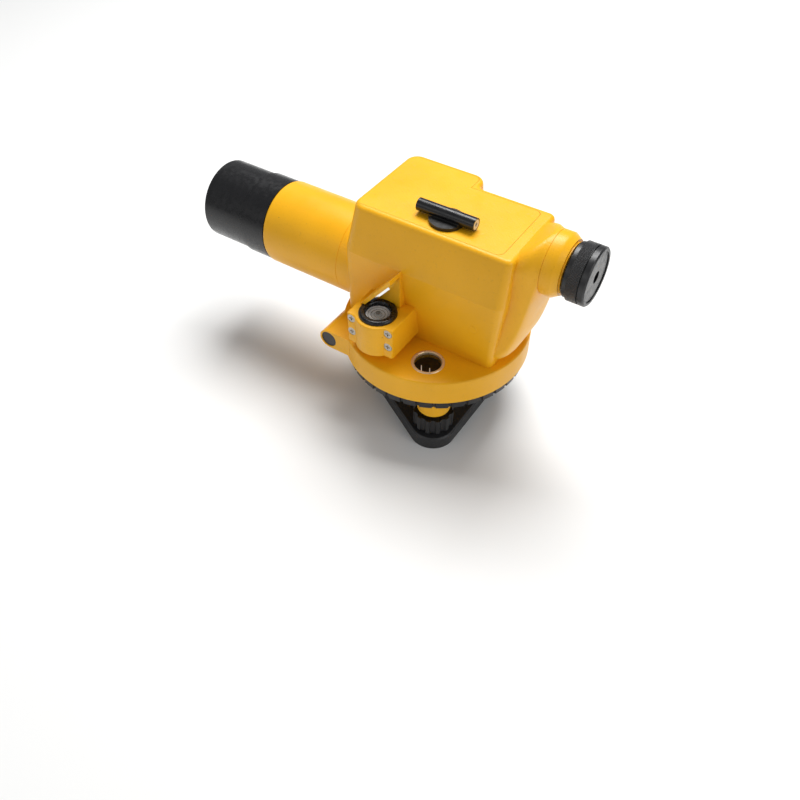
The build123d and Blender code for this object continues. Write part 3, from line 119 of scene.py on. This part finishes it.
# Base plate: the three-cornered cast iron plate that stands on the tripod head and carries the three
# feet. It is painted black, and its skin is slightly rough with dust in the pits.
class Nodes:
    """Short way to add and join shader nodes in one tree."""

    def __init__(self, tree):
        self.tree = tree

    def add(self, kind, **settings):
        node = self.tree.nodes.new(kind)
        for name, value in settings.items():
            setattr(node, name, value)
        return node

    def feed(self, socket, value):
        if isinstance(value, bpy.types.NodeSocket):
            self.tree.links.new(value, socket)
        else:
            socket.default_value = value

    def math(self, operation, a, b=0.0):
        node = self.add("ShaderNodeMath", operation=operation)
        self.feed(node.inputs[0], a)
        self.feed(node.inputs[1], b)
        return node.outputs[0]

    def reach(self, across, along):
        """Distance from the axis of two coordinates that lie square to it."""
        squares = self.math("ADD", self.math("MULTIPLY", across, across), self.math("MULTIPLY", along, along))
        return self.math("SQRT", squares)

    def ramp(self, value, low, high, out_low=0.0, out_high=1.0):
        node = self.add("ShaderNodeMapRange")
        labels = ("Value", "From Min", "From Max", "To Min", "To Max")
        for label, setting in zip(labels, (value, low, high, out_low, out_high)):
            self.feed(node.inputs[label], setting)
        return node.outputs["Result"]

    def noise(self, place, scale, detail=3.0, roughness=0.5):
        node = self.add("ShaderNodeTexNoise")
        labels = ("Vector", "Scale", "Detail", "Roughness")
        for label, setting in zip(labels, (place, scale, detail, roughness)):
            self.feed(node.inputs[label], setting)
        return node.outputs["Fac"]

    def blend(self, amount, first, second, blend_type="MIX"):
        node = self.add("ShaderNodeMix", data_type="RGBA", blend_type=blend_type)
        self.feed(node.inputs[0], amount)
        self.feed(node.inputs[6], first)
        self.feed(node.inputs[7], second)
        return node.outputs[2]

    def bump(self, height, distance):
        node = self.add("ShaderNodeBump")
        self.feed(node.inputs["Height"], height)
        self.feed(node.inputs["Distance"], distance)
        return node.outputs["Normal"]

    def parts(self, place, centre=None):
        """The three coordinates of a place, counted from a centre where one is given."""
        if centre is not None:
            centred = self.add("ShaderNodeVectorMath", operation="SUBTRACT")
            self.feed(centred.inputs[0], place)
            self.feed(centred.inputs[1], centre)
            place = centred.outputs[0]
        node = self.add("ShaderNodeSeparateXYZ")
        self.feed(node.inputs[0], place)
        return node.outputs


def new_group(name, inputs, outputs):
    tree = bpy.data.node_groups.new(name, "ShaderNodeTree")
    for label, kind in inputs:
        tree.interface.new_socket(label, in_out="INPUT", socket_type=kind)
    for label, kind in outputs:
        tree.interface.new_socket(label, in_out="OUTPUT", socket_type=kind)
    make = Nodes(tree)
    return make, make.add("NodeGroupInput").outputs, make.add("NodeGroupOutput").inputs


def use_group(make, group, **values):
    node = make.add("ShaderNodeGroup", node_tree=group.tree)
    for label, value in values.items():
        make.feed(node.inputs[label], value)
    return node.outputs


def finish_named(name, base, rough, metal=0.0, coat=0.0):
    """A Principled material with its Object coordinates ready."""
    material = bpy.data.materials.new(name)
    material.use_nodes = True
    make = Nodes(material.node_tree)
    shader = material.node_tree.nodes["Principled BSDF"]
    shader.inputs["Base Color"].default_value = (*base, 1.0)
    shader.inputs["Roughness"].default_value = rough
    shader.inputs["Metallic"].default_value = metal
    shader.inputs["Coat Weight"].default_value = coat
    shader.inputs["Coat Roughness"].default_value = 0.12
    where = make.add("ShaderNodeTexCoord").outputs["Object"]
    return material, make, shader, where


def wear(names, material, sharp=32.0):
    """Gives CAD nodes a finish, and shades their round faces smooth between sharp edges."""
    for name in names:
        node = nodes[name]
        if node.material_slots:
            for slot in node.material_slots:
                slot.material = material
        else:
            node.data.materials.append(material)
        for face in node.data.polygons:
            face.use_smooth = True
        joined = node.modifiers.new("joined", "WELD")
        joined.merge_threshold = 0.000004
        edges = node.modifiers.new("crisp_edges", "EDGE_SPLIT")
        edges.split_angle = radians(sharp)


COLOUR, NUMBER, VECTOR = "NodeSocketColor", "NodeSocketFloat", "NodeSocketVector"
enamel, enamel_in, enamel_out = new_group(
    "worn_enamel",
    [("Place", VECTOR), ("Paint", COLOUR), ("Grime", COLOUR), ("Pitting", NUMBER)],
    [("Colour", COLOUR), ("Roughness", NUMBER), ("Normal", VECTOR)],
)
surface = enamel_in["Place"]
tone = enamel.ramp(enamel.noise(surface, 26.0, 2.0), 0.3, 0.7, 0.93, 1.04)
tone_colour = enamel.add("ShaderNodeCombineColor")
for channel in ("Red", "Green", "Blue"):
    enamel.feed(tone_colour.inputs[channel], tone)
toned = enamel.blend(1.0, enamel_in["Paint"], tone_colour.outputs[0], "MULTIPLY")
pit_mask = enamel.ramp(enamel.noise(surface, 620.0, 3.0, 0.6), 0.60, 0.72)
speck_mask = enamel.ramp(enamel.noise(surface, 520.0, 1.0), 0.80, 0.82)
dusty = enamel.blend(enamel.math("MULTIPLY", pit_mask, 0.12), toned, enamel_in["Grime"])
specked = enamel.blend(enamel.math("MULTIPLY", speck_mask, 0.75), dusty, enamel_in["Grime"])
enamel.feed(enamel_out["Colour"], specked)
enamel.feed(enamel_out["Roughness"], enamel.ramp(enamel.noise(surface, 90.0, 3.0), 0.3, 0.7, 0.30, 0.42))
orange_peel = enamel.noise(surface, 900.0, 2.0)
skin_height = enamel.math("SUBTRACT", orange_peel, enamel.math("MULTIPLY", pit_mask, 0.5))
skin_depth = enamel.math("MULTIPLY", enamel_in["Pitting"], 0.00012)
enamel.feed(enamel_out["Normal"], enamel.bump(skin_height, skin_depth))

iron_black = (0.022, 0.022, 0.023)
base_paint, make, shader, where = finish_named("black_base_paint", iron_black, 0.45)
worn = use_group(
    make, enamel, Place=where, Paint=(*iron_black, 1.0), Grime=(0.09, 0.08, 0.07, 1.0), Pitting=1.4
)
make.feed(shader.inputs["Base Color"], worn["Colour"])
make.feed(shader.inputs["Normal"], worn["Normal"])
wear(["base_plate"], base_paint)

# Leaf spring with its three screws, and the loose ball of foot 1: ground and oiled steel with a fine
# brushed grain. The spring holds the balls of the foot screws down in the base plate.
ground_steel, make, shader, where = finish_named("ground_steel", (0.52, 0.52, 0.53), 0.3, 1.0)
stretch = make.add("ShaderNodeMapping")
make.feed(stretch.inputs["Vector"], where)
stretch.inputs["Scale"].default_value = (1.0, 1.0, 14.0)
brushed = make.noise(stretch.outputs[0], 260.0, 4.0, 0.6)
make.feed(shader.inputs["Roughness"], make.ramp(brushed, 0.3, 0.7, 0.22, 0.42))
make.feed(shader.inputs["Normal"], make.bump(brushed, 0.00001))
wear(["spring_plate", "spring_screws", "foot_ball_1"], ground_steel)


# Foot screws: threaded steel spindles under fluted knobs, which are moulded in satin black plastic
# with a fine spark-eroded grain. They carry the tribrach and set it level.
def threaded(name, centre, axis, pitch):
    """Steel with a fine thread cut round an axis through centre, and darker colour in its grooves."""
    steel = (0.50, 0.50, 0.51)
    material, make, shader, where = finish_named(name, steel, 0.3, 1.0)
    parts = make.parts(where, centre)
    across = [parts[i] for i in range(3) if i != axis]
    around = make.math("DIVIDE", make.math("ARCTAN2", across[0], across[1]), 2 * pi)
    turn = make.math("ADD", make.math("DIVIDE", parts[axis], pitch), around)
    flank = make.math("PINGPONG", turn, 0.5)
    make.feed(shader.inputs["Normal"], make.bump(flank, pitch * 0.8))
    # The colour darkens to brown-black towards the bottom of each thread groove.
    groove_darkening = make.ramp(flank, 0.0, 0.25, 0.6, 0.0)
    make.feed(shader.inputs["Base Color"], make.blend(groove_darkening, (*steel, 1.0), (0.10, 0.08, 0.06, 1.0)))
    return material


def box_middle(name):
    low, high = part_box(name)
    return (low + high) / 2


def patchy_gloss(make, shader, where, scale, rough, span=(0.3, 0.7), detail=3.0):
    """Lets the gloss wander between two roughnesses, as handling leaves it."""
    make.feed(shader.inputs["Roughness"], make.ramp(make.noise(where, scale, detail), *span, *rough))


for number in (1, 2, 3):
    middle = box_middle(f"foot_spindle_{number}")
    thread = threaded(f"foot_thread_{number}", (middle.x, middle.y, 0.0), axis=2, pitch=0.00125)
    wear([f"foot_spindle_{number}"], thread)

moulded, make, shader, where = finish_named("black_moulded", (0.008, 0.008, 0.009), 0.36)
make.feed(shader.inputs["Normal"], make.bump(make.noise(where, 1400.0, 2.0), 0.00005))
patchy_gloss(make, shader, where, 130.0, (0.30, 0.44), detail=4.0)
wear(["foot_knob_1", "foot_knob_2", "foot_knob_3"], moulded)


# Tribrach: the cast alloy body on the three feet, under a baked warm yellow enamel with the odd dark
# speck. Its brass bushes carry the steel axle of the head, which a brass nut keeps in its place and
# three screws fix to the circle housing above.
def yellow_enamel(name, pitting):
    yellow = (0.93, 0.46, 0.008)
    material, make, shader, where = finish_named(name, yellow, 0.36)
    worn = use_group(
        make, enamel, Place=where, Paint=(*yellow, 1.0), Grime=(0.22, 0.095, 0.012, 1.0), Pitting=pitting
    )
    shader.inputs["Specular IOR Level"].default_value = 0.35
    make.feed(shader.inputs["Base Color"], worn["Colour"])
    make.feed(shader.inputs["Roughness"], worn["Roughness"])
    make.feed(shader.inputs["Normal"], worn["Normal"])
    return material


cast_yellow = yellow_enamel("yellow_enamel_cast", 1.0)
wear(["tribrach_body"], cast_yellow)

lathe, lathe_in, lathe_out = new_group(
    "lathe_rings",
    [("Along", NUMBER), ("Place", VECTOR), ("Pitch", NUMBER), ("Depth", NUMBER), ("Rough", NUMBER)],
    [("Roughness", NUMBER), ("Normal", VECTOR)],
)
per_ring = lathe.math("DIVIDE", 2 * pi, lathe_in["Pitch"])
ring_wave = lathe.math("SINE", lathe.math("MULTIPLY", lathe_in["Along"], per_ring))
scuffs = lathe.noise(lathe_in["Place"], 300.0, 4.0, 0.6)
lathe.feed(
    lathe_out["Roughness"],
    lathe.math("ADD", lathe_in["Rough"], lathe.ramp(scuffs, 0.35, 0.7, -0.06, 0.12)),
)
tool_height = lathe.math("ADD", ring_wave, lathe.math("MULTIPLY", scuffs, 0.15))
lathe.feed(lathe_out["Normal"], lathe.bump(tool_height, lathe_in["Depth"]))


def turned(name, base, rough, metal=0.0, depth=0.000004, axis=0):
    """A part turned on a lathe along one axis, with faint tool rings 0.6 mm apart."""
    material, make, shader, where = finish_named(name, base, rough, metal)
    rings = use_group(
        make, lathe, Along=make.parts(where)[axis], Place=where, Pitch=0.0006, Depth=depth, Rough=rough
    )
    make.feed(shader.inputs["Roughness"], rings["Roughness"])
    make.feed(shader.inputs["Normal"], rings["Normal"])
    return material


brass = turned("turned_brass", (0.70, 0.47, 0.17), 0.26, metal=1.0, axis=2)
wear(["bearing_bushes", "axle_nut"], brass)
wear(["vertical_axle", "axle_screws"], ground_steel)

# Horizontal circle: a dark anodised disc with white divisions, one a degree and longer at five and
# ten, turned by hand with the moulded ring around it.
wear(["circle_ring"], moulded)
disc_black, division_white = (0.03, 0.03, 0.032), (0.82, 0.82, 0.80)
divisions_end = 0.0530
divided, make, shader, where = finish_named("divided_circle", disc_black, 0.4)
parts = make.parts(where)
degrees_round = make.math("MULTIPLY", make.math("ARCTAN2", parts[1], parts[0]), 180.0 / pi)
radius_out = make.reach(parts[0], parts[1])


def divisions(every, thickness, inner):
    """White lines every so many degrees, from the radius inner to where all divisions end."""
    line = make.math("LESS_THAN", make.math("PINGPONG", degrees_round, every / 2), thickness)
    past_inner = make.math("GREATER_THAN", radius_out, inner)
    before_end = make.math("LESS_THAN", radius_out, divisions_end)
    return make.math("MULTIPLY", line, make.math("MULTIPLY", past_inner, before_end))


lines = make.math("MAXIMUM", divisions(1.0, 0.09, 0.0512), divisions(10.0, 0.14, 0.0485))
lines = make.math("MAXIMUM", lines, divisions(5.0, 0.11, 0.0500))
make.feed(shader.inputs["Base Color"], make.blend(lines, (*disc_black, 1.0), (*division_white, 1.0)))
wear(["horizontal_circle"], divided)

# Circle housing: the round cast flange over the circle, enamelled like the tribrach, with a window in
# a pale brass ring. A black index stands under the pane, and two white marks lie on the pane's near
# edge, by which the circle is read.
wear(["circle_housing"], cast_yellow)

window_metal, make, shader, where = finish_named("window_brass", (0.78, 0.62, 0.40), 0.34, 0.5)
patchy_gloss(make, shader, where, 500.0, (0.24, 0.42))
wear(["window_ring"], window_metal)


def thin_glass(name, tint, alpha):
    """A cover glass, thin enough to see straight through, that keeps a faint gloss."""
    material, make, shader, where = finish_named(name, tint, 0.04)
    shader.inputs["Alpha"].default_value = alpha
    patchy_gloss(make, shader, where, 160.0, (0.03, 0.09), span=(0.35, 0.75), detail=4.0)
    return material


wear(["window_glass"], thin_glass("window_pane", (0.01, 0.01, 0.01), 0.35))
black_disc = turned("black_anodised_disc", (0.006, 0.006, 0.006), 0.34, axis=2)
wear(["circle_index"], black_disc)


def keep_mesh(name, mesh, material, body, smooth=True):
    """Makes a finished bmesh a piece of its own, riding on a body."""
    data = bpy.data.meshes.new(name)
    bmesh.ops.recalc_face_normals(mesh, faces=mesh.faces)
    for face in mesh.faces:
        face.smooth = smooth
    mesh.to_mesh(data)
    mesh.free()
    data.materials.append(material)
    piece = bpy.data.objects.new(name, data)
    bpy.context.scene.collection.objects.link(piece)
    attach(piece, body)
    return piece


white_mark, make, shader, where = finish_named("white_mark", (0.90, 0.90, 0.88), 0.45)
make.feed(shader.inputs["Roughness"], make.ramp(make.noise(where, 600.0, 2.0), 0.3, 0.7, 0.4, 0.5))
mark_width, mark_height, mark_round = 0.00055, 0.00030, 0.00008
mark_ends = (
    ((0.01434, -0.04178), (0.01738, -0.04660)),
    ((0.01984, -0.04114), (0.02238, -0.04524)),
)
pane_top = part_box("window_glass")[1].z
for number, (inner, outer) in enumerate(mark_ends, start=1):
    along = Vector(outer) - Vector(inner)
    middle = (Vector(outer) + Vector(inner)) / 2
    mark = bmesh.new()
    bmesh.ops.create_cube(mark, size=1.0)
    bmesh.ops.scale(mark, vec=(along.length, mark_width, mark_height), verts=mark.verts)
    bmesh.ops.bevel(
        mark, geom=mark.edges[:], offset=mark_round, segments=2, affect="EDGES", profile=0.5, material=-1
    )
    heading = Matrix.Rotation(atan2(along.y, along.x), 3, "Z")
    bmesh.ops.rotate(mark, cent=(0, 0, 0), matrix=heading, verts=mark.verts)
    bmesh.ops.translate(mark, vec=(middle.x, middle.y, pane_top + mark_height / 3), verts=mark.verts)
    keep_mesh(f"window_mark_{number}", mark, white_mark, "head", smooth=False)

# Slow motion: a steel clamp ring whose arm is pushed by a fine screw with a moulded knob, against a
# steel plunger. The screw runs in a brass bush, and a moulded plug closes the lug's other end.
wear(["clamp_arm", "spring_plunger"], ground_steel)
middle = box_middle("tangent_screw")
wear(["tangent_screw"], threaded("slow_motion_thread", (middle.x, 0.0, middle.z), axis=1, pitch=0.0005))
wear(["tangent_bush"], brass)
wear(["tangent_knob", "tangent_plug"], moulded)

# Head casting and cover: one cast shell, creased along its walls, and its lid on a moulded gasket.
# Both carry the same enamel. A small turned plug closes a hole in the near wall and is painted over.
wear(["main_housing"], cast_yellow, sharp=17.0)
wear(["top_cover"], cast_yellow)
wear(["cover_gasket"], moulded)


def spun(profile, centre, steps=64):
    """Turned shape: a profile of (radius, height) points spun round an upright axis through centre."""
    mesh = bmesh.new()
    corners = [mesh.verts.new((centre[0] + radius, centre[1], height)) for radius, height in profile]
    edges = [mesh.edges.new(pair) for pair in zip(corners, corners[1:])]
    bmesh.ops.spin(
        mesh,
        geom=mesh.verts[:] + edges,
        cent=centre,
        axis=(0.0, 0.0, 1.0),
        angle=2 * pi,
        steps=steps,
        use_merge=True,
    )
    bmesh.ops.remove_doubles(mesh, verts=mesh.verts, dist=0.000001)
    return mesh


plug_radius, plug_seat, plug_top, plug_bevel = 0.0025, -0.0004, 0.00022, 0.0003
plug_profile = [
    (0.0, plug_seat),
    (plug_radius, plug_seat),
    (plug_radius, plug_top - 0.0001),
    (plug_radius - plug_bevel, plug_top),
    (0.0, plug_top),
]
plug = spun(plug_profile, (0.0, 0.0, 0.0), steps=48)
wall_lean = atan2(0.009, 0.054)
bmesh.ops.rotate(plug, cent=(0, 0, 0), matrix=Matrix.Rotation(pi / 2 + wall_lean, 3, "X"), verts=plug.verts)
bmesh.ops.translate(plug, vec=(0.0405, -0.0292, 0.0920), verts=plug.verts)
keep_mesh("wall_plug", plug, cast_yellow, "head", smooth=False)

# Peep sight: a turned aluminium tube in the saddle of a round foot, both dyed black, with a pale
# moulded eyelet in one end. The foot stands on the cover.
black_turned = turned("black_anodised_turned", (0.005, 0.005, 0.006), 0.27, depth=0.0000015)
wear(["sight_tube"], black_turned)
wear(["sight_foot"], black_disc)
ivory, yellowed = (0.80, 0.74, 0.60), (0.62, 0.55, 0.42)
pale, make, shader, where = finish_named("pale_moulded", ivory, 0.5)
aged = make.ramp(make.noise(where, 300.0, 3.0), 0.4, 0.7)
make.feed(shader.inputs["Base Color"], make.blend(aged, (*ivory, 1.0), (*yellowed, 1.0)))
wear(["sight_eyelet"], pale)


# Telescope: a turned and enamelled barrel on the spigot of the head, and the objective cell, which
# screws into it and carries the black anodised hood. The lens is clear, with the faint tint of its
# anti-reflection coating.
def optical_glass(name, tint):
    polish = 0.02
    material, make, shader, where = finish_named(name, tint, polish)
    shader.inputs["Transmission Weight"].default_value = 1.0
    shader.inputs["IOR"].default_value = 1.52
    patchy_gloss(make, shader, where, 160.0, (polish, polish + 0.06), span=(0.35, 0.75), detail=4.0)
    return material


turned_yellow = yellow_enamel("yellow_enamel_turned", 0.55)
wear(["telescope_barrel"], turned_yellow)
wear(["lens_hood", "objective_cell"], black_turned)
coated = optical_glass("coated_lens", (0.86, 0.88, 0.95))
wear(["objective_lens"], coated)

# Focusing: a lens in a sliding cell of bright aluminium, moved by a steel pinion shaft that runs in a
# brass bush and is turned by a moulded knob on the far side.
bright = turned("turned_aluminium", (0.70, 0.71, 0.72), 0.30, metal=1.0)
wear(["focusing_cell"], bright)
wear(["focusing_lens"], coated)
wear(["focus_shaft"], ground_steel)
wear(["focus_bush"], brass)
wear(["focus_knob"], moulded)

# Compensator: a bright aluminium frame, whose bridge carries the clear erecting prism. A pendulum with
# a silvered mirror hangs from it on four thin steel ribbons, over a brass damper cup.
wear(["compensator_frame", "pendulum"], bright)
wear(["suspension_ribbons"], ground_steel)
wear(["damper_cup"], brass)
silvered, make, shader, where = finish_named("silvered_mirror", (0.84, 0.86, 0.87), 0.04, 1.0)
patchy_gloss(make, shader, where, 500.0, (0.03, 0.12), span=(0.4, 0.8))
wear(["pendulum_mirror"], silvered)
wear(["erecting_prism"], optical_glass("clear_glass", (0.93, 0.96, 0.95)))

# Eyepiece: an enamelled collar on the head, a black sliding tube with coated lenses and the reticle,
# and a black dioptre ring and eye cap. The ring's middle band has a fine diamond knurl, cut by two
# sets of slanting grooves, between plain turned bands.
wear(["eyepiece_collar"], turned_yellow)
wear(["eyepiece_cell", "eye_cap"], black_turned)
wear(["eyepiece_lenses", "reticle"], coated)

knurl, knurl_in, knurl_out = new_group(
    "diamond_knurl",
    [("Along", NUMBER), ("Around", NUMBER), ("Radius", NUMBER), ("Pitch", NUMBER)],
    [("Height", NUMBER)],
)
arc = knurl.math("MULTIPLY", knurl_in["Around"], knurl_in["Radius"])
per_metre = knurl.math("DIVIDE", pi, knurl_in["Pitch"])
cuts = []
for slant in ("ADD", "SUBTRACT"):
    slanted = knurl.math(slant, arc, knurl_in["Along"])
    cuts.append(knurl.math("ABSOLUTE", knurl.math("SINE", knurl.math("MULTIPLY", slanted, per_metre))))
knurl.feed(knurl_out["Height"], knurl.math("MINIMUM", cuts[0], cuts[1]))

# The ring's black, and the lighter grey of a painted highlight on the tops of its knurl.
ring_black, knurl_top_highlight = (0.013, 0.013, 0.014), (0.09, 0.09, 0.095)
ring_rough, ring_radius, knurl_pitch = 0.33, 0.0168, 0.0010
eyepiece_axis = (0.0, 0.0, 0.1338)
knurl_start, knurl_end = 0.0851, 0.0914
ring_knurl, make, shader, where = finish_named("black_knurl_eyepiece", ring_black, ring_rough)
parts = make.parts(where, eyepiece_axis)
around = make.math("ARCTAN2", parts[1], parts[2])
diamonds = use_group(make, knurl, Along=parts[0], Around=around, Radius=ring_radius, Pitch=knurl_pitch)
after_start = make.math("GREATER_THAN", parts[0], knurl_start)
before_end = make.math("LESS_THAN", parts[0], knurl_end)
on_rim = make.math("GREATER_THAN", make.reach(parts[1], parts[2]), ring_radius * 0.96)
knurl_mask = make.math("MULTIPLY", make.math("MULTIPLY", after_start, before_end), on_rim)
knurl_height = make.math("MULTIPLY", diamonds["Height"], knurl_mask)
make.feed(shader.inputs["Normal"], make.bump(knurl_height, 0.00025))
# Painted highlight: the tops of the knurl's diamonds are coloured lighter grey than the grooves.
painted_top_highlight = make.math("MULTIPLY", knurl_mask, make.ramp(diamonds["Height"], 0.55, 1.0, 0.0, 0.5))
make.feed(shader.inputs["Base Color"], make.blend(painted_top_highlight, (*ring_black, 1.0), (*knurl_top_highlight, 1.0)))
patchy_gloss(make, shader, where, 400.0, (ring_rough - 0.05, ring_rough + 0.1))
wear(["eyepiece_ring"], ring_knurl)

# Bull's-eye vial: a pale metal cup with three rings printed in it, a bubble and a domed cover glass,
# under a polished black moulded bezel. It sits in an enamelled bracket, which four nickel-plated
# screws hold to the sloping side of the head casting.
wear(["vial_bracket"], cast_yellow)
wear(["vial_screws"], turned("nickel_plate", (0.40, 0.37, 0.32), 0.26, metal=1.0, axis=1))
bezel_look, make, shader, where = finish_named("black_bezel", (0.004, 0.004, 0.005), 0.22)
patchy_gloss(make, shader, where, 350.0, (0.20, 0.34))
wear(["vial_bezel"], bezel_look)

vial_low, vial_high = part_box("circular_vial")
vial_centre = ((vial_low.x + vial_high.x) / 2, (vial_low.y + vial_high.y) / 2, 0.0)
vial_radius = (vial_high.x - vial_low.x) / 2
cup_top = vial_high.z - 0.0012
printed_rings = ((0.0024, 0.00016), (0.0042, 0.00022), (0.0060, 0.00018))
dial_middle, dial_edge, dial_ink = (0.34, 0.36, 0.34), (0.62, 0.60, 0.59), (0.035, 0.035, 0.035)
printed, make, shader, where = finish_named("vial_print", (0.45, 0.45, 0.44), 0.35, coat=0.5)
parts = make.parts(where, vial_centre)
distance_out = make.reach(parts[0], parts[1])
ink = 0.0
for ring_at, half_line in printed_rings:
    off_line = make.math("ABSOLUTE", make.math("SUBTRACT", distance_out, ring_at))
    ink = make.math("MAXIMUM", ink, make.math("LESS_THAN", off_line, half_line))
dial = make.blend(make.ramp(distance_out, 0.0, 0.007), (*dial_middle, 1.0), (*dial_edge, 1.0))
make.feed(shader.inputs["Base Color"], make.blend(ink, dial, (*dial_ink, 1.0)))
cup_profile = [
    (0.0, vial_low.z),
    (vial_radius, vial_low.z),
    (vial_radius, cup_top),
    (vial_radius - 0.0004, cup_top + 0.0002),
    (vial_radius - 0.0008, cup_top),
    (0.0, cup_top - 0.0006),
]
vial_cup = keep_mesh("vial_cup", spun(cup_profile, vial_centre), printed, "head")
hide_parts("circular_vial")

glass_radius, dome_drop, dome_steps = vial_radius - 0.0002, 0.0007, 8
dome_profile = [
    (step / dome_steps * glass_radius, vial_high.z - dome_drop * (step / dome_steps) ** 2)
    for step in range(dome_steps + 1)
]
dome_profile += [(glass_radius, cup_top + 0.0002), (0.0, cup_top + 0.0001)]
cover_glass = thin_glass("vial_cover_glass", (0.75, 0.77, 0.76), 0.10)
keep_mesh("vial_glass", spun(dome_profile, vial_centre), cover_glass, "head")

bubble_radius, bubble_flatness = 0.0016, 0.12
bubble_place = (vial_centre[0] - 0.0006, vial_centre[1] + 0.0012, cup_top + 0.00002)
bubble = bmesh.new()
bmesh.ops.create_uvsphere(bubble, u_segments=32, v_segments=16, radius=bubble_radius)
bmesh.ops.scale(bubble, vec=(1.0, 1.0, bubble_flatness), verts=bubble.verts)
bmesh.ops.translate(bubble, vec=bubble_place, verts=bubble.verts)
bubble_look, make, shader, where = finish_named("vial_bubble", (0.10, 0.11, 0.10), 0.08)
glint = make.ramp(make.noise(where, 900.0, 1.0), 0.4, 0.6)
make.feed(shader.inputs["Base Color"], make.blend(glint, (0.08, 0.09, 0.08, 1.0), (0.16, 0.17, 0.16, 1.0)))
keep_mesh("vial_bubble", bubble, bubble_look, "head")

# Mirror hood: a sloping, enamelled plate over the vial, with a cheek against the casting. It carries a
# silvered mirror, in which the bubble is seen from the eyepiece.
wear(["mirror_hood"], cast_yellow)
wear(["vial_mirror"], silvered)
